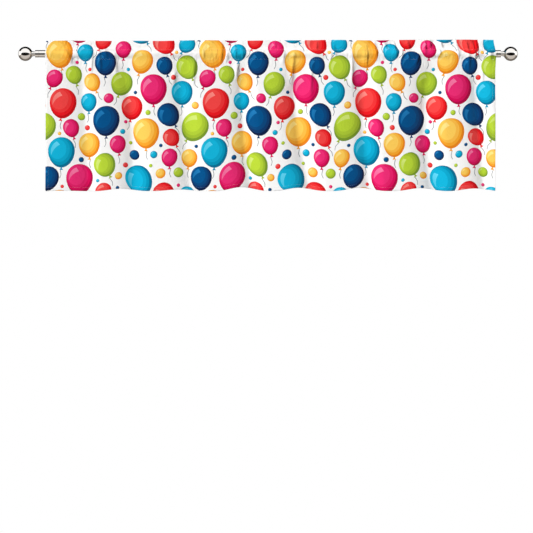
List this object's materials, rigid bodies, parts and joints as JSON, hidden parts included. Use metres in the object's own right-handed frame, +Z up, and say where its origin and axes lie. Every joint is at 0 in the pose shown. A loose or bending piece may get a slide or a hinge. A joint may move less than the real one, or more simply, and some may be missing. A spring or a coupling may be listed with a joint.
{
  "type": "printed valance on a curtain rod",
  "caption": "Short printed window valance with a standing heading and rod pocket, hanging in shallow folds from a round metal curtain rod with a ball finial at each end.",
  "frame": {"origin": "on the curtain rod's axis, halfway along the rod", "axes": "+X along the rod to the right as seen from the front, -Y to the front, +Z up"},
  "size_m": [1.5174, 0.043, 0.4604],
  "materials": {
    "printed_cloth": "matt woven polyester, white with a bright printed pattern",
    "polished_nickel": "polished nickel plate on steel"
  },
  "bodies": {
    "root": {"valance": "printed_cloth", "rod_tube": "polished_nickel", "finial_left": "polished_nickel", "finial_right": "polished_nickel"}
  },
  "joints": []
}
